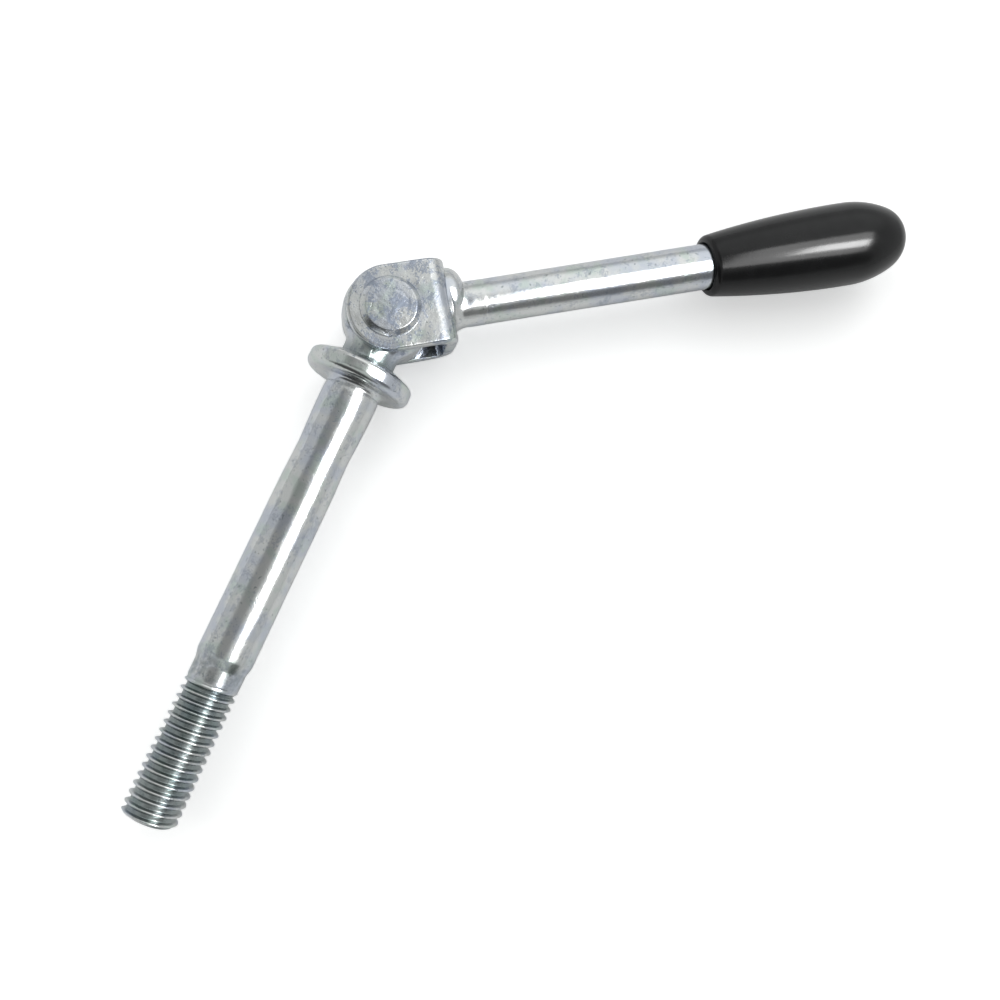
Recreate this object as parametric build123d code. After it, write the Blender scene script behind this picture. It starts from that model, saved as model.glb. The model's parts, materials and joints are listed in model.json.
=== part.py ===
from build123d import *
from math import hypot
import os

os.makedirs("parts", exist_ok=True)

# An articulated clamping lever: a forged eye bolt, and a lever that folds on a rivet through its eye.
# Millimetres. The origin is the centre of the collar's bearing face. The stud's axis is X, with the
# thread towards -X, and the hinge pin's axis is parallel to Z, so the object lies on its side.

# Stud
stud_length = 115.0        # bearing face to thread end
shank_diameter = 14.0
thread_diameter = 13.8     # over the crests
thread_length = 36.0
point_drop = 1.2           # the thread's point, radially
point_length = 1.9         # the thread's point, along the axis
relief_diameter = 12.9     # plain neck above the thread
relief_length = 3.7
relief_taper = 2.3         # cone from the relief up to the shank

# Collar
collar_diameter = 27.5
collar_rim = 4.5           # thickness, and the diameter of the round rim
collar_crown = 1.2         # rise of the hinge side towards the neck
seat_fillet = 1.6          # shank into bearing face

# Eye
hinge_reach = 20.0         # bearing face to hinge axis
eye_diameter = 23.6
eye_thickness = 13.5
eye_rounding = 2.8
neck_width = 14.0
neck_fillet = 3.0

# Fits
side_play = 0.25           # eye to each ear
hinge_clearance = 0.08     # radial, hinge pin in the eye
web_clearance = 0.8        # eye to the yoke's web
mouth_chamfer = 0.5        # at the ends of the eye's bore

# Yoke, one strip of sheet folded to a U
sheet = 3.0
yoke_width = 21.6
bend_inside = 1.5
edge_roll = 0.4            # punched edge on the outside of the strip

# Hinge pin, riveted
pin_diameter = 10.0
head_diameter = 15.2
head_face_diameter = 12.7
head_wall = 0.6
head_height = 1.9
tail_diameter = 13.0
tail_height = 1.6

# Lever rod
rest_fold = 54.0           # degrees between the lever and the stud's own line, as it lies
rod_root_diameter = 11.6
rod_mouth_diameter = 12.2  # where it enters the grip
rod_end_chamfer = 1.0

# Weld of the rod to the web, one piece with the rod
bead_diameter = 13.8
bead_height = 4.7
bead_offset_y = 3.4        # the bead is heaped on one side of the rod
bead_offset_z = 1.0
toe_width = 2.4            # hollow toe of the weld round the rod's root
toe_height = 2.8
weld_wrap = 1.5            # how far the weld reaches down round the yoke's bends

# Grip
grip_reach = 87.0          # hinge axis to the grip's mouth
grip_length = 61.0
grip_mouth_diameter = 16.1
grip_belly_diameter = 22.6
grip_belly_reach = 42.0    # mouth to the widest place
grip_nose_radius = 9.6
grip_mouth_rounding = 1.3
socket_depth = 40.0
socket_point = 3.0         # drill point at the bottom of the socket
socket_clearance = 0.0     # radial, the grip is pushed on

shank_radius = shank_diameter / 2
collar_radius = collar_diameter / 2
eye_radius = eye_diameter / 2
pin_radius = pin_diameter / 2
ear_gap = eye_thickness + 2 * side_play
ear_outside = ear_gap / 2 + sheet
web_inside = eye_radius + web_clearance
web_outside = web_inside + sheet
bend_outside = bend_inside + sheet
rod_mouth_radius = rod_mouth_diameter / 2


def stud_blank():
    """The turned form of the forging, from the thread's point to the collar's crown."""
    end = -stud_length
    thread_stop = end + thread_length
    shank_start = thread_stop + relief_length + relief_taper
    rim = collar_rim / 2
    rim_centre = collar_radius - rim
    with BuildSketch() as half:
        with BuildLine():
            Polyline(
                (collar_rim + collar_crown, shank_radius),
                (collar_rim + collar_crown, 0),
                (end, 0),
                (end, thread_diameter / 2 - point_drop),
                (end + point_length, thread_diameter / 2),
                (thread_stop, thread_diameter / 2),
                (thread_stop, relief_diameter / 2),
                (thread_stop + relief_length, relief_diameter / 2),
                (shank_start, shank_radius),
                (-seat_fillet, shank_radius),
            )
            TangentArc((-seat_fillet, shank_radius), (0, shank_radius + seat_fillet), tangent=(1, 0))
            Line((0, shank_radius + seat_fillet), (0, rim_centre))
            ThreePointArc((0, rim_centre), (rim, collar_radius), (collar_rim, rim_centre))
            Line((collar_rim, rim_centre), (collar_rim + collar_crown, shank_radius))
        make_face()
    return revolve(half.sketch, Axis.X)


def eye_and_neck():
    """The flattened eye and its neck: one outline, with rounded edges, bored for the hinge pin."""
    with BuildSketch() as outline:
        with Locations((hinge_reach, 0)):
            Circle(eye_radius)
        with Locations((hinge_reach / 2, 0)):
            Rectangle(hinge_reach, neck_width)
        shoulders = outline.vertices().group_by(Axis.X)[1]
        fillet(shoulders, neck_fillet)
    body = extrude(outline.sketch, eye_thickness / 2, both=True)
    layers = body.edges().group_by(Axis.Z)
    rims = (layers[0] + layers[-1]).filter_by(lambda edge: edge.center().X > collar_rim / 2)
    body = fillet(rims, eye_rounding)
    bore = Cylinder(pin_radius + hinge_clearance, eye_thickness)
    mouth = Cone(pin_radius + hinge_clearance, pin_radius + hinge_clearance + mouth_chamfer, mouth_chamfer)
    mouth_height = (eye_thickness - mouth_chamfer) / 2
    bore += Pos(0, 0, mouth_height) * mouth
    bore += Pos(0, 0, -mouth_height) * Rot(180, 0, 0) * mouth
    return body - Pos(hinge_reach, 0, 0) * bore


def eye_bolt():
    """Thread, shank, collar, neck and eye in one piece."""
    return stud_blank() + eye_and_neck()


# The lever's pieces are drawn with the hinge axis on Z and the rod along +X, then turned to rest.


def strip(reach, half_depth, corner):
    """A block with the U's outline seen along its width: open-ended at the ears, rounded at the web."""
    with BuildSketch(Plane.XZ) as section:
        with Locations(((reach - yoke_width) / 2, 0)):
            Rectangle(reach + yoke_width, 2 * half_depth)
        fillet(section.vertices().group_by(Axis.X)[-1], corner)
    return extrude(section.sketch, yoke_width, both=True)


def yoke():
    """A strip folded round the eye: two round-ended ears on the hinge pin and a flat web."""
    with BuildSketch() as outline:
        Circle(yoke_width / 2)
        with Locations((web_outside / 2, 0)):
            Rectangle(web_outside, yoke_width)
    body = strip(web_outside, ear_outside, bend_outside) & extrude(outline.sketch, ear_outside, both=True)
    body -= strip(web_inside, ear_gap / 2, bend_inside)
    outside = body.edges().filter_by(on_outer_edge)
    body = fillet(outside, edge_roll)
    return body - Cylinder(pin_radius, 2 * ear_outside)


def on_outer_edge(edge):
    """True for an edge that runs along the strip's border on its outer skin."""
    middle = edge @ 0.5
    corner = Vector(web_outside - bend_outside, 0, ear_outside - bend_outside)
    past_x = max(middle.X - corner.X, 0)
    past_z = max(abs(middle.Z) - corner.Z, 0)
    on_skin = abs(hypot(past_x, past_z) - bend_outside) < 0.01
    across_the_strip = abs((edge % 0.5).Y) > 0.999 and middle.X > 0
    return on_skin and not across_the_strip


def hinge_pin():
    """A rivet: low chamfered head above, peened button below, plain between."""
    with BuildSketch(Plane.XZ) as half:
        with BuildLine():
            Polyline(
                (0, -ear_outside - tail_height),
                (0, ear_outside + head_height),
                (head_face_diameter / 2, ear_outside + head_height),
                (head_diameter / 2, ear_outside + head_wall),
                (head_diameter / 2, ear_outside),
                (pin_radius, ear_outside),
                (pin_radius, -ear_outside),
                (tail_diameter / 2, -ear_outside),
            )
            EllipticalCenterArc(
                (0, -ear_outside), tail_diameter / 2, tail_height, start_angle=270, arc_size=90
            )
        make_face()
    return revolve(half.sketch, Axis.Z)


def weld():
    """The bead heaped on one side of the rod and the hollow toe all round, laid on the yoke's outside."""
    bead_radius = bead_diameter / 2
    with BuildSketch() as dome:
        with BuildLine():
            EllipticalCenterArc((0, 0), bead_height, bead_radius, start_angle=0, arc_size=90)
            Polyline((0, bead_radius), (-weld_wrap, bead_radius), (-weld_wrap, 0), (bead_height, 0))
        make_face()
    bead = Pos(0, bead_offset_y, bead_offset_z) * revolve(dome.sketch, Axis.X)
    root = rod_root_diameter / 2
    with BuildSketch() as skirt:
        with BuildLine():
            Polyline(
                (toe_height, root),
                (toe_height, 0),
                (-weld_wrap, 0),
                (-weld_wrap, root + toe_width),
                (0, root + toe_width),
            )
            TangentArc((toe_height, root), (0, root + toe_width), tangent=(-1, 0))
        make_face()
    heap = Pos(web_outside, 0, 0) * (bead + revolve(skirt.sketch, Axis.X))
    return heap - strip(web_outside, ear_outside, bend_outside)


def lever_rod():
    """A round rod that thickens a little towards the grip, with the weld that holds it to the web."""
    mouth = grip_reach - web_outside
    end = mouth + socket_depth
    with BuildSketch() as half:
        with BuildLine():
            Polyline(
                (0, 0),
                (0, rod_root_diameter / 2),
                (mouth, rod_mouth_radius),
                (end - rod_end_chamfer, rod_mouth_radius),
                (end, rod_mouth_radius - rod_end_chamfer),
                (end, 0),
                close=True,
            )
        make_face()
    return Pos(web_outside, 0, 0) * revolve(half.sketch, Axis.X) + weld()


def grip():
    """A hollow oval: an arc from the mouth to the belly, a flatter arc on, and a ball nose."""
    belly = grip_belly_diameter / 2
    nose_centre = grip_length - grip_nose_radius
    past_belly = nose_centre - grip_belly_reach
    arc_radius = (past_belly**2 + belly**2 - grip_nose_radius**2) / (2 * (belly - grip_nose_radius))
    arc_centre = Vector(grip_belly_reach, belly - arc_radius)
    towards_nose = Vector(nose_centre, 0) - arc_centre
    onto_nose = arc_centre + towards_nose.normalized() * arc_radius
    socket_radius = rod_mouth_radius + socket_clearance
    with BuildSketch() as half:
        with BuildLine():
            TangentArc((grip_belly_reach, belly), (0, grip_mouth_diameter / 2), tangent=(-1, 0))
            nape = TangentArc((grip_belly_reach, belly), onto_nose, tangent=(1, 0))
            TangentArc(nape @ 1, (grip_length, 0), tangent=nape % 1)
            Polyline(
                (grip_length, 0),
                (socket_depth + socket_point, 0),
                (socket_depth, socket_radius),
                (0, socket_radius),
                (0, grip_mouth_diameter / 2),
            )
        make_face()
        lip = half.vertices().sort_by_distance((0, grip_mouth_diameter / 2))[0]
        fillet(lip, grip_mouth_rounding)
    return Pos(grip_reach, 0, 0) * revolve(half.sketch, Axis.X)


to_rest = Pos(hinge_reach, 0, 0) * Rot(0, 0, -rest_fold)

pieces = {
    "eye_bolt": eye_bolt(),
    "yoke": to_rest * yoke(),
    "hinge_pin": to_rest * hinge_pin(),
    "lever_rod": to_rest * lever_rod(),
    "grip": to_rest * grip(),
}

for name, piece in pieces.items():
    export_step(piece, f"parts/{name}.step")
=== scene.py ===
import json
from types import SimpleNamespace

import bmesh
import bpy
import numpy as np
from mathutils import Matrix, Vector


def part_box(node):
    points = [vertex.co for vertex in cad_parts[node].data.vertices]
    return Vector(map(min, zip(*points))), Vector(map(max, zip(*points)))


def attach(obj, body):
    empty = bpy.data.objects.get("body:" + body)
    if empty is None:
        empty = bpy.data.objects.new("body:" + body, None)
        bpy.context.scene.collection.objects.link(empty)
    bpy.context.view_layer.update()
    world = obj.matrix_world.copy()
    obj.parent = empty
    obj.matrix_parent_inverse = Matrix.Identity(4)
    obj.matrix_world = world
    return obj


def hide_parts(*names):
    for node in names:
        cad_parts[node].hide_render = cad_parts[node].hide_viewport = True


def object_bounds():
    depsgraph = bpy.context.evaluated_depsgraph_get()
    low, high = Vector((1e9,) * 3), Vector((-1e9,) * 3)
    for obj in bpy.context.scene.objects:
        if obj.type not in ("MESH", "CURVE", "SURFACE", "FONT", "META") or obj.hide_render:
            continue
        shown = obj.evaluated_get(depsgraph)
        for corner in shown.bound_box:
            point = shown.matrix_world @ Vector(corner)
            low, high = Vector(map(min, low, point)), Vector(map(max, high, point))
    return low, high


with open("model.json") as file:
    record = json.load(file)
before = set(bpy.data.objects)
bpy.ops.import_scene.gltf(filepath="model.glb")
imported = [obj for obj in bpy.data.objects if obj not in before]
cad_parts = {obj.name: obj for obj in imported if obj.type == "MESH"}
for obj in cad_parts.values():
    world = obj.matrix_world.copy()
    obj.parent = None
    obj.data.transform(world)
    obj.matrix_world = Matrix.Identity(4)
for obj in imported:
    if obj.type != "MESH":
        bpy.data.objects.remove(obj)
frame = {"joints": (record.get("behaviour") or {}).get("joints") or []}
cad_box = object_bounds()

bl_info = {
    "name": "Articulated clamping lever",
    "version": (1, 0, 0),
    "blender": (4, 5, 0),
    "location": "3D View > Sidebar > Clamping Lever",
    "description": "A forged eye bolt with a folding lever, in bright zinc, with a black grip",
    "category": "Add Mesh",
}

MM = 0.001
TURN = 2 * np.pi
AROUND = 144                       # points round a turned piece

HINGE = np.array(frame["joints"][0]["pos_m"]) / MM
FOLD = np.radians(-54.0)           # the lever's direction at rest, from the stud's line
COLLAR_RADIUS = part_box("eye_bolt")[1].z / MM
FLOOR_HEIGHT = cad_box[0][2] / MM


# ---------------------------------------------------------------- sizes


def length(name, description, default):
    """A size in metres that is written in millimetres."""
    return bpy.props.FloatProperty(
        name=name, description=description, default=default * MM, min=0.0, unit="LENGTH"
    )


def colour(name, description, default):
    return bpy.props.FloatVectorProperty(
        name=name, description=description, default=default, size=3, min=0.0, max=1.0, subtype="COLOR"
    )


def share(name, description, default):
    return bpy.props.FloatProperty(
        name=name, description=description, default=default, min=0.0, max=1.0, subtype="FACTOR"
    )


class LeverStudSizes(bpy.types.PropertyGroup):
    length: length("Length", "Collar's bearing face to the thread's end", 115.0)
    shank: length("Shank radius", "Plain shank", 7.0)
    crest: length("Crest radius", "Thread, over the crests, beside the neck", 6.65)
    root: length("Root radius", "Thread, in the roots, beside the neck", 5.62)
    spread: length("Spread", "How much wider the thread is at its end", 0.24)
    relief: length("Relief radius", "Plain relief above the thread", 6.45)
    pitch: length("Pitch", "One turn of the thread", 2.2)
    thread: length("Thread length", "End to the last turn", 35.2)
    collar: length("Collar thickness", "Also the diameter of its round rim", 4.5)
    eye: length("Eye radius", "Outside of the eye", 11.8)
    thickness: length("Eye thickness", "Face to face", 13.5)
    bore: length("Bore radius", "The eye's bore", 5.08)
    neck: length("Neck half width", "Between the collar and the eye", 7.0)


class LeverYokeSizes(bpy.types.PropertyGroup):
    sheet: length("Sheet", "Thickness of the strip", 3.0)
    half_width: length("Half width", "Half the strip's width, and the radius of the ears' ends", 10.8)
    half_depth: length("Half depth", "From the middle to an ear's outer face", 10.0)
    reach: length("Reach", "Hinge axis to the web's outer face", 15.6)
    bend: length("Bend", "Radius inside the bends", 1.5)
    hole: length("Hole radius", "Pin holes in the ears", 5.0)


class LeverArmSizes(bpy.types.PropertyGroup):
    root: length("Rod radius at the web", "Rod beside the weld", 5.8)
    mouth: length("Rod radius at the grip", "Rod where it enters the grip", 6.1)
    grip_reach: length("Grip reach", "Hinge axis to the grip's mouth", 87.0)
    grip_length: length("Grip length", "Mouth to nose", 59.2)
    grip_mouth: length("Mouth radius", "Outside of the grip's mouth", 8.05)
    grip_belly: length("Belly radius", "Widest place of the grip", 11.3)
    belly_reach: length("Belly reach", "Mouth to the widest place", 42.0)
    nose: length("Nose radius", "Ball end of the grip", 9.6)
    socket: length("Socket", "Depth of the bore in the grip", 40.0)


class LeverFinishes(bpy.types.PropertyGroup):
    zinc: colour("Zinc", "Bright zinc plate", (0.66, 0.67, 0.665))
    cool: colour("Cool tint", "Bluish places in the plate", (0.55, 0.58, 0.64))
    green: colour("Green tint", "Greenish places in the plate", (0.54, 0.61, 0.57))
    dull: colour("Dull zinc", "Struck and rubbed places", (0.25, 0.29, 0.37))
    # root is the pits' own colour, and also the colour of the painted shade in the thread's roots and in the
    # eye's recess by the collar, and of the cloudy patches on the stud's plain neck
    root: colour("Dark zinc", "Thread roots and pits", (0.10, 0.14, 0.14))
    grip: colour("Grip", "Black moulded plastic", (0.006, 0.006, 0.0065))
    floor: colour("Floor", "Pale floor", (0.90, 0.90, 0.90))
    sheen: share("Sheen", "Roughness of the brightest plate", 0.12)


def in_millimetres(group):
    """The group's sizes as plain numbers in millimetres."""
    names = [p.identifier for p in group.bl_rna.properties if p.identifier not in ("rna_type", "name")]
    return SimpleNamespace(**{n: getattr(group, n) / MM for n in names})


# ---------------------------------------------------------------- shapes


def ease(x, low, high):
    """0 below low, 1 above high, and a smooth S between."""
    t = np.clip((x - low) / (high - low), 0.0, 1.0)
    return t * t * (3.0 - 2.0 * t)


def unevenness(points, wavelength, depth, seed, stretch=(1.0, 1.0, 1.0)):
    """Slow unevenness of about one wavelength: the sum of 14 sine waves in fixed directions."""
    rng = np.random.default_rng(seed)
    waves = rng.normal(size=(14, 3))
    waves /= np.linalg.norm(waves, axis=1, keepdims=True)
    waves *= (TURN / wavelength) * rng.uniform(0.6, 1.5, (14, 1))
    phase = rng.uniform(0.0, TURN, 14)
    return depth * np.sin((points / np.array(stretch)) @ waves.T + phase).sum(-1) / np.sqrt(14)


def smooth_max(a, b, blend):
    """The larger of a and b, with the crease between them rounded over a height of about blend."""
    h = np.clip(0.5 + 0.5 * (a - b) / blend, 0.0, 1.0)
    return b + (a - b) * h + blend * h * (1.0 - h)


def rounded(corners, step=0.8, arc_step=np.radians(9.0)):
    """A profile through corners (x, r, rounding): runs divided by step, and an arc at each rounded corner."""
    corners = np.array(corners, float)
    where, rounding = corners[:, :2], corners[:, 2]
    run = np.diff(where, axis=0)
    run /= np.linalg.norm(run, axis=1, keepdims=True)
    knots = [where[:1]]
    for i in range(1, len(where) - 1):
        before, after = run[i - 1], run[i]
        bend = np.arccos(np.clip(before @ after, -1.0, 1.0))
        if rounding[i] == 0.0 or bend < 1e-4:
            knots.append(where[i : i + 1])
            continue
        cut = rounding[i] * np.tan(bend / 2)
        side = np.sign(before[0] * after[1] - before[1] * after[0])
        inward = side * np.array([-before[1], before[0]])
        centre = where[i] - cut * before + rounding[i] * inward
        swept = np.linspace(0.0, bend, max(3, int(np.ceil(bend / arc_step)) + 1))[:, None]
        knots.append(centre + rounding[i] * (np.sin(swept) * before - np.cos(swept) * inward))
    knots.append(where[-1:])
    knots = np.concatenate(knots)
    pieces = []
    for start, end in zip(knots[:-1], knots[1:]):
        count = max(1, int(np.linalg.norm(end - start) / step))
        pieces.append(start + (end - start) * np.linspace(0.0, 1.0, count, endpoint=False)[:, None])
    return np.concatenate(pieces + [knots[-1:]])


def carried_round(profile, radius=None, around=AROUND):
    """Rings about X: each profile point goes once round; radius(x, r, angle) may vary the ring."""
    angle = np.linspace(0.0, TURN, around, endpoint=False)[None, :]
    x = profile[:, :1] + 0.0 * angle
    r = profile[:, 1:] + 0.0 * angle
    if radius is not None:
        r = radius(x, r, angle)
    return np.stack([x, r * np.cos(angle), r * np.sin(angle)], -1)


def away_from_axis(points):
    """Unit vectors that point away from X, and the points' distances from it."""
    radial = points * np.array([0.0, 1.0, 1.0])
    distance = np.linalg.norm(radial, axis=-1, keepdims=True)
    return radial / np.maximum(distance, 1e-6), distance


def grid_faces(rows, columns, closed_rows=False, closed_columns=True):
    """Quads of a grid whose point (row, column) has the number row * columns + column."""
    i = np.arange(rows if closed_rows else rows - 1)[:, None]
    j = np.arange(columns if closed_columns else columns - 1)[None, :]
    ni, nj = (i + 1) % rows, (j + 1) % columns
    quads = np.stack([i * columns + j, i * columns + nj, ni * columns + nj, ni * columns + j], -1)
    return quads.reshape(-1, 4)


def make_mesh(name, points, quads, triangles=None, merge=None):
    """A mesh in metres from points in millimetres, closed, smooth, and facing outwards."""
    faces = quads.tolist() + ([] if triangles is None else triangles.tolist())
    mesh = bpy.data.meshes.new(name)
    mesh.from_pydata((points * MM).tolist(), [], faces)
    work = bmesh.new()
    work.from_mesh(mesh)
    if merge:
        bmesh.ops.remove_doubles(work, verts=work.verts, dist=merge * MM)
        bmesh.ops.dissolve_degenerate(work, edges=work.edges, dist=merge * MM / 4)
    bmesh.ops.recalc_face_normals(work, faces=work.faces)
    if work.calc_volume(signed=True) < 0:
        bmesh.ops.reverse_faces(work, faces=work.faces)
    open_edges = sum(1 for edge in work.edges if not edge.is_manifold)
    work.to_mesh(mesh)
    work.free()
    if open_edges:
        raise RuntimeError(f"{name} has {open_edges} open edges")
    mesh.polygons.foreach_set("use_smooth", np.ones(len(mesh.polygons), bool))
    return mesh


def turned(name, rings):
    """Closed rings from pole to pole; the first and last rings are drawn in to one point each."""
    rows, columns = rings.shape[:2]
    poles = np.stack([rings[0].mean(0), rings[-1].mean(0)])
    inner = rings[1:-1]
    points = np.concatenate([inner.reshape(-1, 3), poles])
    quads = grid_faces(rows - 2, columns)
    j = np.arange(columns)
    nj = (j + 1) % columns
    last = (rows - 3) * columns
    first_pole, last_pole = len(points) - 2, len(points) - 1
    fans = np.concatenate([
        np.stack([np.full(columns, first_pole), nj, j], -1),
        np.stack([np.full(columns, last_pole), last + j, last + nj], -1),
    ])
    return make_mesh(name, points, quads, fans)


def at_rest(points):
    """From the lever's own frame, with the hinge at its origin and the rod along X, to the row's frame."""
    c, s = np.cos(FOLD), np.sin(FOLD)
    turn = np.array([[c, s, 0.0], [-s, c, 0.0], [0.0, 0.0, 1.0]])
    return points @ turn + HINGE


def add_piece(mesh, body, node, material):
    """Shows the mesh in place of its CAD node and lets it ride on its body."""
    piece = bpy.data.objects.new(mesh.name, mesh)
    bpy.context.scene.collection.objects.link(piece)
    mesh.materials.append(material)
    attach(piece, body)
    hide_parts(node)
    return piece


def stud_rings(s):
    """Shank, thread and collar. The thread's radius goes round with the angle: a rounded ridge whose
    place along X moves one pitch a turn, between the crest and root radii, fading out at the neck."""
    end, stop = -s.length, -s.length + s.thread
    rim = s.collar / 2
    threaded = np.arange(end + 0.35, stop + 0.6, s.pitch / 18)
    below = rounded([
        (end - 0.15, 0.0, 0),
        (end - 0.05, 3.0, 0),
        (end, s.root - 0.35, 0),
        (end + 0.2, s.root - 0.1, 0),
    ])
    above = rounded([
        (stop + 0.7, s.relief, 0),
        (stop + 3.7, s.relief, 2.0),
        (stop + 6.0, s.shank, 3.0),
        (0.0, s.shank, 1.6),
        (0.0, COLLAR_RADIUS, rim - 0.3),
        (s.collar - 0.1, COLLAR_RADIUS, 1.5),
        (s.collar + 2.0, s.neck + 1.5, 1.2),
        (s.collar + 2.3, s.neck - 1.0, 0.3),
        (s.collar + 2.3, 0.0, 0),
    ])
    profile = np.concatenate([below, np.stack([threaded, np.full_like(threaded, s.relief)], -1), above])

    ridge_foot, ridge_top = 0.66, 0.11              # half widths of the thread's ridge
    run_out_start, run_out_end = 2.6, 0.2          # before the thread's last turn

    def radius(x, r, angle):
        spread = s.spread * (1.0 - ease(x, end, stop))
        crest_here, root_here = s.crest + spread, s.root + spread
        phase = np.mod((x - end) / s.pitch - angle / TURN + 0.30, 1.0)
        away = np.abs(phase - 0.5) * s.pitch
        ridge = np.clip((ridge_foot - away) / (ridge_foot - ridge_top), 0.0, 1.0)
        ridge = 0.45 * ridge + 0.55 * ease(ridge, 0.0, 1.0)
        full = 1.0 - ease(x, stop - run_out_start, stop - run_out_end)
        cut = root_here + (crest_here - root_here) * ridge
        cut = np.minimum(cut, root_here + 0.05 + 1.15 * np.maximum(x - end, 0.0))
        in_thread = (x > end + 0.3) & (x < stop + 0.65)
        threaded_radius = s.relief + (cut - s.relief) * full
        r = np.where(in_thread, threaded_radius, r)
        # the shank swells under the collar and has a slight waist below
        on_shank = ease(x, stop + 5.0, stop + 9.0) * (1.0 - ease(x, -2.4, -1.5))
        swell = 0.20 * np.exp(-((x + 4.0) / 8.0) ** 2) - 0.24 * np.exp(-((x + 19.5) / 5.5) ** 2)
        r = r + on_shank * swell
        parting = np.exp(-((x - rim - 1.2) / 0.16) ** 2) * (r > COLLAR_RADIUS - 1.5)
        return r - 0.09 * parting

    rings = carried_round(profile, radius)
    away, distance = away_from_axis(rings)
    plain_part = ease(rings[..., :1], stop + 1.0, stop + 6.0) * (distance > 3.0)
    wave = unevenness(rings, 7.0, 0.016, 11, (5.0, 1.0, 1.0))
    wave = wave + unevenness(rings, 3.2, 0.006, 12, (2.0, 1.0, 1.0))
    return rings + away * plain_part * wave[..., None]


def eye_mesh(s):
    """The eye and its neck: an edge section carried round the flattened outline, faces ruled from it
    to the bore, and the bore's wall, one ring of sections closed both ways."""
    base, fillet = 3.2, 2.2
    middle = HINGE[0]
    across = s.neck + fillet
    along = np.sqrt((s.eye + fillet) ** 2 - across**2)
    touch = np.arctan2(across, -along)
    side = np.stack([np.linspace(base, middle - along, 14, endpoint=False), np.full(14, s.neck)], -1)
    sweep = np.linspace(-np.pi / 2, touch - np.pi, 10, endpoint=False)
    curve = np.array([middle - along, across]) + fillet * np.stack([np.cos(sweep), np.sin(sweep)], -1)
    half = np.linspace(touch, 0.0, 73)
    ring = np.array([middle, 0.0]) + s.eye * np.stack([np.cos(half), np.sin(half)], -1)
    upper = np.concatenate([side, curve, ring])
    inward = np.concatenate([
        np.tile([0.0, -1.0], (14, 1)),
        np.stack([np.cos(sweep), np.sin(sweep)], -1),
        -np.stack([np.cos(half), np.sin(half)], -1),
    ])
    flip = np.array([1.0, -1.0])
    foot_y = np.linspace(-s.neck, s.neck, 13)[1:-1]
    foot = np.stack([np.full(11, base), foot_y], -1)
    foot_in = np.stack([np.zeros(11), -foot_y / s.neck], -1)
    outline = np.concatenate([upper, upper[-2::-1] * flip, foot])
    normal = np.concatenate([inward, inward[-2::-1] * flip, foot_in])

    half_thick = s.thickness / 2
    eye_edge, softer_at_neck = 2.9, 3.5
    rounding = eye_edge + softer_at_neck * (1.0 - ease(outline[:, 0], middle - 11.5, middle - 7.0))
    bend = np.linspace(0.0, np.pi / 2, 10)
    bow = 0.25                     # the edge is barrelled between its roundings
    low = [
        np.stack([rounding * (1 - np.sin(a)), -half_thick + rounding * (1 - np.cos(a))], -1) for a in bend
    ]
    crown = [low[-1] * np.array([1.0, 0.0])]
    section = low + crown + [level * np.array([1.0, -1.0]) for level in low[::-1]]
    section = np.stack(section)                                    # level, outline point, (inset, height)
    inset = section[..., 0] + bow * (np.abs(section[..., 1]) / half_thick) ** 2
    edge = outline[None] + normal[None] * inset[..., None]
    edge = np.concatenate([edge, section[..., 1:2]], -1)

    towards = np.arctan2(edge[0, :, 1], edge[0, :, 0] - middle)
    direction = np.stack([np.cos(towards), np.sin(towards)], -1)
    centre = np.array([middle, 0.0])

    def on_bore(radius, height):
        return np.concatenate([centre + radius * direction, np.full((len(direction), 1), height)], -1)

    mouth, chamfer = s.bore + 0.6, 0.5
    share_out = np.linspace(0.0, 1.0, 9)[1:-1]
    lower_lip = on_bore(mouth, -half_thick)
    upper_lip = on_bore(mouth, half_thick)
    lower_face = [lower_lip + (edge[0] - lower_lip) * t for t in share_out]
    upper_face = [edge[-1] + (upper_lip - edge[-1]) * t for t in share_out]
    wall = [on_bore(s.bore, z) for z in np.linspace(half_thick - chamfer, -half_thick + chamfer, 6)]
    loops = np.concatenate([
        edge, np.stack(upper_face), upper_lip[None], np.stack(wall), lower_lip[None], np.stack(lower_face),
    ])
    # the neck flares where it runs into the collar
    flare_reach, flare_length, flare_height = 3.2, 2.6, 1.2
    away, distance = away_from_axis(loops)
    rise = np.clip((s.collar + flare_reach - loops[..., :1]) / flare_length, 0.0, 1.0)
    loops = loops + away * flare_height * (1.0 - np.sqrt(1.0 - np.minimum(rise, 0.98) ** 2))
    loops = loops + away * unevenness(loops, 5.0, 0.035, 21)[..., None] * ease(distance, 5.5, 7.0)
    rows, columns = loops.shape[:2]
    quads = grid_faces(rows, columns, closed_rows=True)
    return make_mesh("eye", loops.reshape(-1, 3), quads)


def folded(x, y, out, bend_start, bend_radius, depth_middle):
    """Lays a flat strip round a U: straight ear, quarter bend, then the web. out is the height above
    the strip's middle, towards the U's outside."""
    quarter = bend_radius * np.pi / 2
    angle = np.clip((x - bend_start) / bend_radius, 0.0, np.pi / 2)
    past = np.maximum(x - bend_start - quarter, 0.0)
    u = np.minimum(x, bend_start) + (bend_radius + out) * np.sin(angle)
    z = (depth_middle - bend_radius) + (bend_radius + out) * np.cos(angle) - past
    return np.stack([u, y, z], -1)


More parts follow.
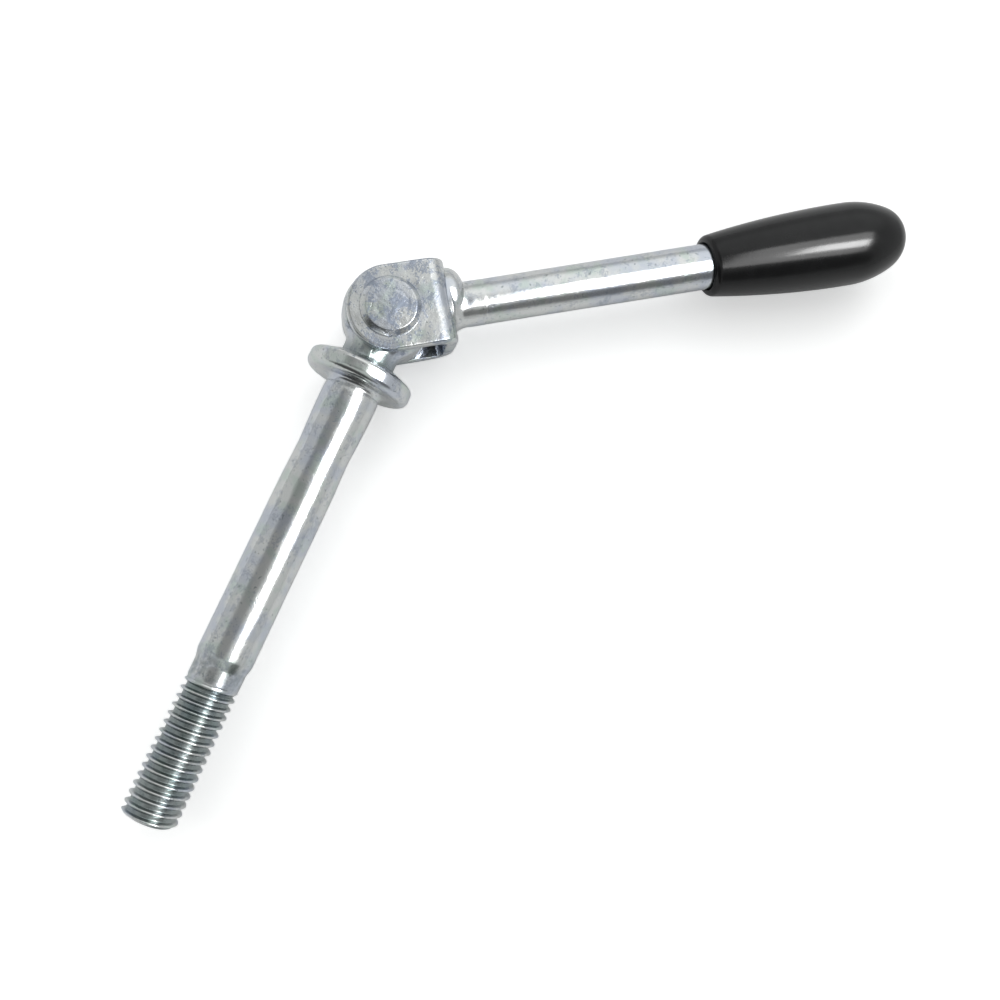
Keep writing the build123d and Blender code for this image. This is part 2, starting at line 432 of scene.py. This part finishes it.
def yoke_mesh(s):
    """The folded strip: each half is worked out flat, as rays from its pin hole to its outline, with a
    rounded edge section, then laid round the U; the halves meet at the web's middle."""
    mid_bend = s.bend + s.sheet / 2
    mid_depth = s.half_depth - s.sheet / 2
    bend_start = s.reach - s.bend - s.sheet
    web_half = mid_depth - mid_bend
    reach = bend_start + mid_bend * np.pi / 2 + web_half
    w = s.half_width
    back = np.linspace(np.pi / 2, 3 * np.pi / 2, 73)
    side_x = np.linspace(reach, 0.0, 56, endpoint=False)
    outline = np.concatenate([
        np.stack([side_x, np.full_like(side_x, w)], -1),
        np.stack([w * np.cos(back), w * np.sin(back)], -1),
        np.stack([side_x[::-1], np.full_like(side_x, -w)], -1),
    ])
    inward = np.concatenate([
        np.tile([0.0, -1.0], (len(side_x), 1)),
        -np.stack([np.cos(back), np.sin(back)], -1),
        np.tile([0.0, 1.0], (len(side_x), 1)),
    ])
    rolled, burred = 0.75, 0.35    # roundings of the outer and the inner border
    half = s.sheet / 2
    bend = np.linspace(0.0, np.pi / 2, 7)
    inner = np.stack([burred * (1 - np.sin(bend)), -half + burred * (1 - np.cos(bend))], -1)
    outer = np.stack([rolled * (1 - np.cos(bend)), half - rolled * (1 - np.sin(bend))], -1)
    section = np.concatenate([inner, outer])
    edge = outline[None] + inward[None] * section[:, None, :1]

    front = np.linspace(-w, w, 42)[1:-1]

    def skin(border, height, inset):
        line = np.stack([np.full_like(front, reach), front * (1 - inset / w)], -1)
        closed = np.concatenate([border, line])
        towards = np.arctan2(closed[:, 1], closed[:, 0])
        hole = s.hole * np.stack([np.cos(towards), np.sin(towards)], -1)
        t = np.linspace(0.0, 1.0, 49)[:, None, None]
        flat = hole + (closed - hole) * t
        return np.concatenate([flat, np.full(flat.shape[:2] + (1,), height)], -1)

    inner_skin = skin(edge[0], -half, burred)
    outer_skin = skin(edge[-1], half, rolled)
    border = np.concatenate([edge, np.broadcast_to(section[:, None, 1:], edge.shape[:2] + (1,))], -1)
    hole_wall = np.stack([inner_skin[0], outer_skin[0]])

    points, faces, count = [], [], 0
    for part, closed in ((inner_skin, True), (outer_skin, True), (border, False), (hole_wall, True)):
        rows, columns = part.shape[:2]
        points.append(part.reshape(-1, 3))
        faces.append(grid_faces(rows, columns, closed_columns=closed) + count)
        count += rows * columns
    flat = np.concatenate(points)
    faces = np.concatenate(faces)
    x, y, out = flat[:, 0], flat[:, 1], flat[:, 2]
    # bending squeezes the inside of the strip out at its borders and draws the outside in
    bending = np.exp(-(((x - bend_start - mid_bend * np.pi / 4) / 2.6) ** 2))
    y = y * (1.0 - 0.018 * bending * out / half)
    upper = folded(x, y, out, bend_start, mid_bend, mid_depth)
    lower = upper * np.array([1.0, 1.0, -1.0])
    both = np.concatenate([upper, lower])
    shell = ease(np.hypot(both[:, 0], both[:, 1]), 7.8, 9.5)
    wave = shell * unevenness(both, 6.5, 0.035, 31)
    push = both * np.array([0.35, 0.0, 1.0])
    push /= np.linalg.norm(push, axis=-1, keepdims=True)
    both = both + push * wave[:, None]
    quads = np.concatenate([faces, faces[:, ::-1] + len(flat)])
    return make_mesh("folded_yoke", at_rest(both), quads, merge=0.004)


def rivet_rings(depth):
    """The hinge pin about its own axis: a peened tail, the plain pin, and a low chamfered head whose
    face is slightly crowned, struck uneven, and marked by a ring that is a little off centre."""
    pin, head, face, tail = 5.0, 7.6, 6.35, 6.5     # radii
    head_height, tail_height = 1.95, 1.6
    profile = rounded([
        (-depth - tail_height, 0.0, 0),
        (-depth - tail_height + 0.15, 3.0, 6.0),
        (-depth - 0.75, 5.6, 2.0),
        (-depth, tail, 0.15),
        (-depth, pin, 0),
        (depth, pin, 0),
        (depth, head, 0.12),
        (depth + 0.6, head, 0.25),
        (depth + head_height - 0.09, face, 0.22),
        (depth + head_height, 0.0, 0),
    ], step=0.35)
    rings = carried_round(profile)
    x, y, z = rings[..., 0], rings[..., 1], rings[..., 2]
    from_ring = np.hypot(y - 0.35, z + 0.15) - 3.9
    on_face = (x > depth + 1.7) * 1.0
    mark = -0.035 * np.exp(-((from_ring / 0.25) ** 2))
    dents = unevenness(rings, 2.8, 0.012, 41) + unevenness(rings, 1.1, 0.005, 42)
    peening = (x < -depth - 0.2) * unevenness(rings, 3.4, 0.06, 43)
    edge_fade = 1.0 - ease(np.hypot(y, z), 5.6, 6.3)
    rings = rings.copy()
    rings[..., 0] += on_face * edge_fade * (mark + dents) + peening
    return rings[..., [1, 2, 0]]


def arm_rings(s, reach):
    """Rod and weld. At each distance from the web the radius is the largest of the rod's, the weld's
    hollow toe and the off-centre dome of the bead, where the bead's circle is met by a ray from the
    rod's axis; the weld also wraps a little round the yoke's bends."""
    mouth = s.grip_reach - reach
    end = mouth + s.socket - 0.4
    near = np.concatenate([np.linspace(-1.2, 0.0, 9)[:-1], np.linspace(0.0, 9.0, 91)])
    far = np.arange(9.5, end - 1.2, 0.8)
    x = np.concatenate([near[:1], near, far, [end - 1.0, end - 0.8, end, end]])
    r = s.root + (s.mouth - s.root) * np.clip(x / mouth, 0.0, 1.0)
    r[0] = 0.0
    r[-2] -= 1.0
    r[-1] = 0.0
    profile = np.stack([x, r], -1)

    def radius(x, r, angle):
        height, width = 4.8, 7.0                    # of the bead
        off_y, off_z = 2.9, 0.9
        toe_width, toe_height = 2.5, 4.6
        hollow = 1.0 - np.clip(x / toe_height, 0.0, 1.0)
        toe = s.root + toe_width * (1.0 - np.sqrt(1.0 - hollow**2))
        ring = width * np.clip(1.0 - (np.maximum(x, 0.0) / height) ** 2.4, 0.0, 1.0) ** 0.45
        along = off_y * np.cos(angle) + off_z * np.sin(angle)
        under = ring**2 - (off_y**2 + off_z**2) + along**2
        dome = np.where(under > 0.0, along + np.sqrt(np.maximum(under, 0.0)), 0.0)
        dome = dome * (ring > 0.0)
        welded = smooth_max(smooth_max(r, toe, 0.25), dome, 0.5)
        return np.where(r > 0.5, np.where(x < 9.0, np.maximum(welded, r), r), r)

    rings = carried_round(profile, radius, around=160)
    away, distance = away_from_axis(rings)
    weld = 1.0 - ease(rings[..., 0], 4.0, 7.0)
    rough = unevenness(rings, 4.5, 0.035, 51) * weld
    rough = rough + unevenness(rings, 9.0, 0.020, 52, (4.0, 1.0, 1.0)) * (1 - weld)
    rings = rings + away * (rough * (distance[..., 0] > 1.0))[..., None]
    return rings + np.array([reach, 0.0, 0.0])


def grip_rings(s):
    """The grip: bore, rounded mouth, an arc that swells to the belly, a tighter arc on, and a ball."""
    first = (s.belly_reach**2 + (s.grip_belly - s.grip_mouth) ** 2) / (2 * (s.grip_belly - s.grip_mouth))
    past = s.grip_length - s.nose - s.belly_reach
    second = (past**2 + s.grip_belly**2 - s.nose**2) / (2 * (s.grip_belly - s.nose))
    meet = np.arctan2(past, second - s.grip_belly)
    bore = s.mouth + 0.03
    inside = rounded([
        (s.socket + 3.0, 0.0, 0), (s.socket, bore, 0), (0.5, bore, 0), (0.0, bore + 0.35, 0.3),
        (0.0, s.grip_mouth - 1.2, 0),
    ])
    x = np.linspace(0.0, s.belly_reach, 60)
    swell = s.grip_belly - first + np.sqrt(first**2 - (s.belly_reach - x) ** 2)
    lip = 1.3
    lip_x = np.concatenate([lip * (1 - np.cos(np.linspace(0.05, np.pi / 2, 9))), x[x > lip * 1.05]])
    rolled = np.clip(1.0 - lip_x / lip, 0.0, 1.0)
    lip_r = np.interp(lip_x, x, swell) - lip * (1.0 - np.sqrt(1.0 - rolled**2))
    a = np.linspace(0.0, meet, 14)[1:]
    belly = np.stack([s.belly_reach + second * np.sin(a), s.grip_belly - second + second * np.cos(a)], -1)
    b = np.linspace(np.pi / 2 - meet, 0.0, 26)[1:]
    ball = np.stack([s.grip_length - s.nose + s.nose * np.cos(b), s.nose * np.sin(b)], -1)
    profile = np.concatenate([inside, np.stack([lip_x, lip_r], -1), belly, ball])
    rings = carried_round(profile)
    away, distance = away_from_axis(rings)
    outside = ease(distance, s.mouth + 1.0, s.mouth + 2.0)
    # the shrinkage of thick plastic leaves the gloss very slightly wavy
    rings = rings + away * outside * unevenness(rings, 22.0, 0.02, 61)[..., None]
    return rings + np.array([s.grip_reach, 0.0, 0.0])


# ---------------------------------------------------------------- finishes


class Amount:
    """A number that varies over a surface. Sums, products and powers of it add Math nodes."""

    def __init__(self, nodes, socket):
        self.nodes = nodes
        self.socket = socket

    def _math(self, operation, first, second):
        return self.nodes.add("ShaderNodeMath", {"operation": operation}, {0: first, 1: second})

    def __add__(self, other):
        return self._math("ADD", self, other)

    def __radd__(self, other):
        return self._math("ADD", other, self)

    def __sub__(self, other):
        return self._math("SUBTRACT", self, other)

    def __rsub__(self, other):
        return self._math("SUBTRACT", other, self)

    def __mul__(self, other):
        return self._math("MULTIPLY", self, other)

    def __rmul__(self, other):
        return self._math("MULTIPLY", other, self)

    def __pow__(self, other):
        return self._math("POWER", self, other)

    def between(self, low, high):
        """0 at low and 1 at high, held outside them."""
        return self.nodes.add(
            "ShaderNodeMapRange", {"interpolation_type": "SMOOTHSTEP"},
            {"Value": self, "From Min": low, "From Max": high},
        )


class Nodes:
    """A node tree that is built up node by node."""

    def __init__(self, tree):
        self.tree = tree
        self.tree.nodes.clear()

    def add(self, kind, settings, sockets, output=0):
        """Adds a node of that kind, makes its settings, feeds its sockets, and gives one output back."""
        node = self.tree.nodes.new(kind)
        for name, value in settings.items():
            setattr(node, name, value)
        for name, value in sockets.items():
            socket = node.inputs[name]
            if isinstance(value, Amount):
                self.tree.links.new(value.socket, socket)
            elif socket.type == "RGBA":
                socket.default_value = (*value, 1.0)
            else:
                socket.default_value = value
        if not node.outputs:
            return None
        return Amount(self, node.outputs[output])


class Finish(Nodes):
    """A material built up from its nodes."""

    def __init__(self, name):
        self.material = bpy.data.materials.new(name)
        self.material.use_nodes = True
        super().__init__(self.material.node_tree)
        self.place = self.add("ShaderNodeTexCoord", {}, {}, "Object")

    def noise(self, size, detail=3.0, roughness=0.5, stretch=(1.0, 1.0, 1.0), turn=0.0, shift=0.0):
        """Noise whose lumps are about size millimetres, drawn out along X by stretch after a turn about Z."""
        where = self.add(
            "ShaderNodeMapping",
            {"vector_type": "TEXTURE"},
            {
                "Vector": self.place,
                "Location": (shift, shift, 0.0),
                "Rotation": (0.0, 0.0, turn),
                "Scale": stretch,
            },
        )
        sockets = {"Vector": where, "Scale": 1.0 / (size * MM), "Detail": detail, "Roughness": roughness}
        return self.add("ShaderNodeTexNoise", {}, sockets)

    def blend(self, factor, first, second):
        """A colour between first and second."""
        return self.add("ShaderNodeMix", {"data_type": "RGBA"}, {0: factor, 6: first, 7: second}, 2)

    def bump(self, height, distance, strength, over=None):
        """A bent normal: height times distance, in millimetres, laid over another bump if one is given."""
        sockets = {"Height": height, "Distance": distance * MM, "Strength": strength}
        if over is not None:
            sockets["Normal"] = over
        return self.add("ShaderNodeBump", {}, sockets)

    def surface(self, sockets):
        """Ends the material in a Principled shader."""
        shader = self.add("ShaderNodeBsdfPrincipled", {}, sockets)
        self.add("ShaderNodeOutputMaterial", {}, {"Surface": shader})
        return self.material


def zinc(name, look, grain_turn=0.0, dull=0.0, pits=0.5, shade=None):
    """Bright zinc plate on steel: tints in soft clouds, dull places broken up by a fine pepper, pits,
    and short marks drawn out along the metal's grain. shade says where the plate is darkened: painted shade,
    and on the stud also cloudy patches on its plain neck."""
    f = Finish(name)
    clouds = f.noise(9.0, 3.0, 0.55, shift=0.3)
    tint = f.noise(5.0, 2.0, 0.5, shift=0.7)
    patches = f.noise(4.0, 2.0, 0.5, shift=0.5)
    mottle = f.noise(1.3, 4.0, 0.6, shift=0.1)
    pepper = f.noise(0.42, 2.0, 0.6, shift=0.2)
    grain = f.noise(0.85, 2.0, 0.55, (2.6, 1.0, 1.0), grain_turn)
    specks = f.noise(0.9, 1.0, 0.4, shift=0.9)
    metal = f.blend(clouds.between(0.42, 0.62), look.zinc, look.cool)
    metal = f.blend(tint.between(0.50, 0.68) * 0.7, metal, look.green)
    wear = 0.42 * patches + 0.30 * mottle + 0.28 * pepper
    rubbed = wear.between(0.54 - 0.05 * dull, 0.59 - 0.05 * dull) * (0.25 + 0.65 * dull)
    metal = f.blend(rubbed, metal, look.dull)
    pit = specks.between(0.68, 0.74) * pits
    metal = f.blend(pit * 0.8, metal, look.root)
    rough = look.sheen + 0.03 * clouds + (0.03 + 0.12 * dull) * mottle + 0.10 * rubbed
    if shade is not None:
        # painted shade: the plate is blended towards the root colour where shade asks, and made rougher there
        dark = shade(f) * (0.75 + 0.5 * mottle)
        metal = f.blend(dark, metal, look.root)
        rough = rough + 0.12 * dark
    slow = f.bump(clouds + 0.6 * tint, 0.20, 0.30)
    height = 0.8 * grain + 0.35 * mottle + (0.1 + 0.5 * dull) * pepper - 0.6 * pit
    fine = f.bump(height, 0.040 + 0.03 * dull, 0.6, over=slow)
    return f.surface({"Base Color": metal, "Metallic": 1.0, "Roughness": rough, "Normal": fine})


def thread_painted_shade_and_neck_tone(sizes):
    """Painted shade in the thread's roots, and a partial darkening in cloudy patches on the plain neck above
    it.
    """
    stop = (sizes.thread - sizes.length) * MM
    root, crest = (sizes.root + 0.1) * MM, (sizes.crest + 0.05) * MM

    def shade(f):
        x, y, z = (f.add("ShaderNodeSeparateXYZ", {}, {"Vector": f.place}, output) for output in range(3))
        radius = (y * y + z * z) ** 0.5
        # painted shade in the thread's roots
        roots = (1.0 - x.between(stop - MM, stop + MM)) * (1.0 - radius.between(root, crest))
        # darker cloudy patches on the plain neck above the thread
        neck = x.between(stop - MM, stop + MM) * (1.0 - x.between(stop + 3.5 * MM, stop + 8.0 * MM))
        cloudy = f.noise(2.0, 3.0, 0.6, shift=1.3)
        return 0.70 * roots + 0.45 * neck * cloudy.between(0.35, 0.65)

    return shade


def neck_painted_shade(sizes):
    """Painted shade in the recess between the collar and the eye."""

    def shade(f):
        x = f.add("ShaderNodeSeparateXYZ", {}, {"Vector": f.place})
        # painted shade, full up to 2.5 mm past the collar and gone by 7 mm past it
        return 0.55 * (1.0 - x.between((sizes.collar + 2.5) * MM, (sizes.collar + 7.0) * MM))

    return shade


def gloss_black(look):
    """Glossy moulded black plastic with a faint orange-peel and a dust-fine grain."""
    f = Finish("grip_gloss")
    peel = f.noise(3.5, 2.0, 0.5)
    fine = f.noise(0.5, 3.0, 0.6, shift=0.4)
    shade = f.blend(peel.between(0.3, 0.7), look.grip, tuple(1.5 * c for c in look.grip))
    rough = 0.12 + 0.05 * peel + 0.04 * fine
    normal = f.bump(peel + 0.1 * fine, 0.03, 0.4)
    return f.surface({"Base Color": shade, "Roughness": rough, "Normal": normal, "Specular IOR Level": 0.30})


def floor_finish(look):
    """A pale floor that shows white to the camera, and keeps its shadows."""
    glow_strength = 0.42
    f = Finish("pale_floor")
    paper = f.noise(8.0, 2.0, 0.5)
    shade = f.blend(0.03 * paper, look.floor, (0.86, 0.86, 0.86))
    seen = f.add("ShaderNodeLightPath", {}, {}, "Is Camera Ray")
    seen = seen + f.add("ShaderNodeLightPath", {}, {}, "Is Transmission Ray")
    lit = f.add("ShaderNodeBsdfDiffuse", {}, {"Color": shade})
    glow = f.add("ShaderNodeEmission", {}, {"Color": (1.0, 1.0, 1.0), "Strength": glow_strength * seen})
    both = f.add("ShaderNodeAddShader", {}, {0: lit, 1: glow})
    f.add("ShaderNodeOutputMaterial", {}, {"Surface": both})
    return f.material


# ---------------------------------------------------------------- operators


class LEVER_OT_stud(bpy.types.Operator):
    """Adds the shank, thread and collar, and the eye that stands on them"""

    bl_idname = "lever.stud"
    bl_label = "Stud and Eye"

    def execute(self, context):
        sizes = in_millimetres(context.scene.lever_stud)
        look = context.scene.lever_finishes
        steel = zinc("zinc_forging", look, dull=0.15, shade=thread_painted_shade_and_neck_tone(sizes))
        add_piece(turned("stud", stud_rings(sizes)), "stud", "eye_bolt", steel)
        eye_steel = zinc("zinc_eye", look, dull=0.3, shade=neck_painted_shade(sizes))
        add_piece(eye_mesh(sizes), "stud", "eye_bolt", eye_steel)
        return {"FINISHED"}


class LEVER_OT_yoke(bpy.types.Operator):
    """Adds the folded yoke"""

    bl_idname = "lever.yoke"
    bl_label = "Yoke"

    def execute(self, context):
        sizes = in_millimetres(context.scene.lever_yoke)
        steel = zinc("zinc_sheet", context.scene.lever_finishes, dull=0.7)
        add_piece(yoke_mesh(sizes), "lever", "yoke", steel)
        return {"FINISHED"}


class LEVER_OT_hinge_pin(bpy.types.Operator):
    """Adds the riveted hinge pin"""

    bl_idname = "lever.hinge_pin"
    bl_label = "Hinge Pin"

    def execute(self, context):
        depth = context.scene.lever_yoke.half_depth / MM
        steel = zinc("zinc_rivet", context.scene.lever_finishes, dull=0.85)
        mesh = turned("hinge_pin_rivet", at_rest(rivet_rings(depth)))
        add_piece(mesh, "lever", "hinge_pin", steel)
        return {"FINISHED"}


class LEVER_OT_rod(bpy.types.Operator):
    """Adds the rod with its weld"""

    bl_idname = "lever.rod"
    bl_label = "Rod and Weld"

    def execute(self, context):
        sizes = in_millimetres(context.scene.lever_arm)
        reach = context.scene.lever_yoke.reach / MM
        steel = zinc("zinc_rod", context.scene.lever_finishes, FOLD, dull=0.2)
        mesh = turned("rod_and_weld", at_rest(arm_rings(sizes, reach)))
        add_piece(mesh, "lever", "lever_rod", steel)
        return {"FINISHED"}


class LEVER_OT_grip(bpy.types.Operator):
    """Adds the oval grip"""

    bl_idname = "lever.grip"
    bl_label = "Grip"

    def execute(self, context):
        sizes = in_millimetres(context.scene.lever_arm)
        mesh = turned("oval_grip", at_rest(grip_rings(sizes)))
        add_piece(mesh, "lever", "grip", gloss_black(context.scene.lever_finishes))
        return {"FINISHED"}


class LEVER_OT_stage(bpy.types.Operator):
    """Adds the floor, the lamps, the surroundings and the camera"""

    bl_idname = "lever.stage"
    bl_label = "Stage"

    def execute(self, context):
        scene = context.scene
        scene.view_settings.view_transform = "Standard"
        add_floor(scene.lever_finishes)
        add_lamps()
        add_world(scene)
        add_camera(scene)
        return {"FINISHED"}


def add_floor(look):
    """A plain floor that the lever lies on."""
    half, height = 3.0, FLOOR_HEIGHT * MM - 0.0001
    mesh = bpy.data.meshes.new("floor")
    corners = [(-half, -half, height), (half, -half, height), (half, half, height), (-half, half, height)]
    mesh.from_pydata(corners, [], [(0, 1, 2, 3)])
    mesh.materials.append(floor_finish(look))
    floor = bpy.data.objects.new("floor", mesh)
    bpy.context.scene.collection.objects.link(floor)


SUBJECT = (0.02, -0.03, 0.0)         # what the lamps face, m
LAMPS = {
    # name: direction in the camera's frame, distance (m), size (m), power (W), diffuse, glossy
    "softbox": ((0.64, -0.03, 0.77), 0.90, (0.50, 0.66), 5.4, False, True),
    "lamp": ((0.71, -0.05, 0.70), 0.89, (0.22, 0.20), 3.6, False, True),
    "top": ((0.37, 0.66, 0.60), 0.95, (0.50, 0.36), 1.0, True, False),
    "window": ((-0.40, 0.42, 0.80), 0.90, (0.80, 0.80), 2.4, True, False),
}
SURROUNDINGS = (
    # direction in the camera's frame, width (degrees), soft border (degrees), change of brightness
    ((-0.07, 0.24, 0.96), 14.0, 16.0, -0.30),
    ((0.59, -0.75, 0.43), 10.0, 14.0, -0.42),
    ((-0.55, -0.75, 0.35), 24.0, 22.0, -0.54),
    ((0.37, 0.66, 0.60), 14.0, 26.0, 0.50),
)
ROOM = 0.62                        # brightness of the plain surroundings
ROOM_COLOUR = (0.98, 1.0, 0.995)


def to_world(direction):
    """A direction in the camera's frame, turned into the row's frame."""
    vector = camera_axes() @ np.array(direction, float)
    return vector / np.linalg.norm(vector)


def add_lamps():
    """Square lamps that face the lever; each lights the floor, or shows in the metal, or does both."""
    for name, (direction, distance, size, power, diffuse, glossy) in LAMPS.items():
        lamp = bpy.data.lights.new(name, "AREA")
        lamp.shape = "RECTANGLE"
        lamp.size, lamp.size_y = size
        lamp.energy = power
        holder = bpy.data.objects.new(name, lamp)
        bpy.context.scene.collection.objects.link(holder)
        holder.visible_diffuse, holder.visible_glossy = diffuse, glossy
        back = to_world(direction)
        up = camera_axes()[:, 1]
        right = np.cross(up, back)
        right /= np.linalg.norm(right)
        matrix = np.eye(4)
        matrix[:3, 0], matrix[:3, 1], matrix[:3, 2] = right, np.cross(back, right), back
        matrix[:3, 3] = np.array(SUBJECT) + distance * back
        holder.matrix_world = Matrix(matrix.tolist())


def add_world(scene):
    """Plain surroundings with broad darker and brighter places, as a room round the floor has."""
    world = bpy.data.worlds.new("studio")
    world.use_nodes = True
    room = Nodes(world.node_tree)
    place = room.add("ShaderNodeTexCoord", {}, {}, "Generated")
    level = ROOM
    for direction, width, border, change in SURROUNDINGS:
        sockets = {0: place, 1: to_world(direction)}
        towards = room.add("ShaderNodeVectorMath", {"operation": "DOT_PRODUCT"}, sockets, "Value")
        rim, core = np.cos(np.radians((width + border, width))).tolist()
        level = change * towards.between(rim, core) + level
    back = room.add("ShaderNodeBackground", {}, {"Color": ROOM_COLOUR, "Strength": level})
    room.add("ShaderNodeOutputWorld", {}, {"Surface": back})
    scene.world = world


CAMERA_TURN = (-0.083, 0.171, 0.007)        # turn, as an axis times radians, after the stud leans 65 degrees
CAMERA_SHIFT = (-28.47, 46.70, -254.98)      # the hinge seen from the camera, mm
STUD_LEAN = np.radians(65.0)


def turn_about(vector):
    """The rotation matrix of a turn about vector by its length, by Rodrigues' formula."""
    vector = np.array(vector, float)
    size = np.linalg.norm(vector)
    x, y, z = vector / size
    cross = np.array([[0.0, -z, y], [z, 0.0, -x], [-y, x, 0.0]])
    return np.eye(3) + np.sin(size) * cross + (1.0 - np.cos(size)) * cross @ cross


def camera_axes():
    """The camera's axes in the row's frame, as columns: the object's turn seen from the camera, undone."""
    c, s = np.cos(STUD_LEAN), np.sin(STUD_LEAN)
    lean = np.array([[c, -s, 0.0], [s, c, 0.0], [0.0, 0.0, 1.0]])
    return (turn_about(CAMERA_TURN) @ lean).T


def add_camera(scene):
    """A camera nearly over the object."""
    axes = camera_axes()
    matrix = np.eye(4)
    matrix[:3, :3] = axes
    matrix[:3, 3] = (HINGE - axes @ np.array(CAMERA_SHIFT)) * MM
    data = bpy.data.cameras.new("camera")
    data.sensor_width = 36.0
    data.lens = 36.0
    data.clip_start = 0.01
    camera = bpy.data.objects.new("camera", data)
    scene.collection.objects.link(camera)
    camera.matrix_world = Matrix(matrix.tolist())
    scene.camera = camera


class LEVER_PT_panel(bpy.types.Panel):
    """Lists the steps that build the lever and the sizes they use"""

    bl_idname = "LEVER_PT_panel"
    bl_label = "Clamping Lever"
    bl_space_type = "VIEW_3D"
    bl_region_type = "UI"
    bl_category = "Clamping Lever"

    def draw(self, context):
        layout = self.layout
        for step in STEPS:
            layout.operator(step.bl_idname)
        for name in ("lever_stud", "lever_yoke", "lever_arm", "lever_finishes"):
            group = getattr(context.scene, name)
            box = layout.box()
            for prop in group.bl_rna.properties:
                if prop.identifier not in ("rna_type", "name"):
                    box.prop(group, prop.identifier)


GROUPS = {
    "lever_stud": LeverStudSizes,
    "lever_yoke": LeverYokeSizes,
    "lever_arm": LeverArmSizes,
    "lever_finishes": LeverFinishes,
}
STEPS = (LEVER_OT_stud, LEVER_OT_yoke, LEVER_OT_hinge_pin, LEVER_OT_rod, LEVER_OT_grip, LEVER_OT_stage)


def register():
    for cls in (*GROUPS.values(), *STEPS, LEVER_PT_panel):
        bpy.utils.register_class(cls)
    for name, cls in GROUPS.items():
        setattr(bpy.types.Scene, name, bpy.props.PointerProperty(type=cls))


def unregister():
    for name in GROUPS:
        delattr(bpy.types.Scene, name)
    for cls in reversed((*GROUPS.values(), *STEPS, LEVER_PT_panel)):
        bpy.utils.unregister_class(cls)


def main():
    register()
    bpy.ops.lever.stud()
    bpy.ops.lever.yoke()
    bpy.ops.lever.hinge_pin()
    bpy.ops.lever.rod()
    bpy.ops.lever.grip()
    bpy.ops.lever.stage()


if __name__ == "__main__":
    main()
